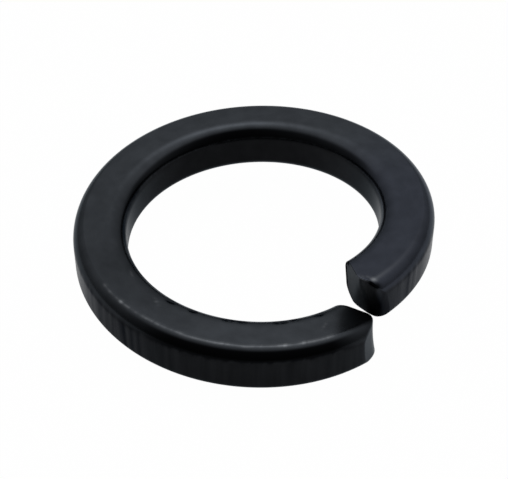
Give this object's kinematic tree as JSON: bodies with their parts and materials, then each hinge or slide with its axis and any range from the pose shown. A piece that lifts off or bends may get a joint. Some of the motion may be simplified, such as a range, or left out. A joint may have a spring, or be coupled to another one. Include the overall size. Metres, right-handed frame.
{
  "type": "spring lock washer",
  "caption": "Square-section spring lock washer: a rounded bar coiled one turn to the left and sheared on a slant, its ends offset in height to grip under a screw head.",
  "frame": {"origin": "on the hole's axis, level with the washer's lowest point", "axes": "+Z along the hole's axis, from the low end to the raised end; the split is towards +X and -Y; -Y is the front"},
  "size_m": [0.0237, 0.0236, 0.007],
  "materials": {
    "black_steel": "black oxide on hardened spring steel, semi-gloss, with a few worn specks on the outer edges"
  },
  "bodies": {
    "root": {"spring_washer": "black_steel"}
  },
  "joints": []
}
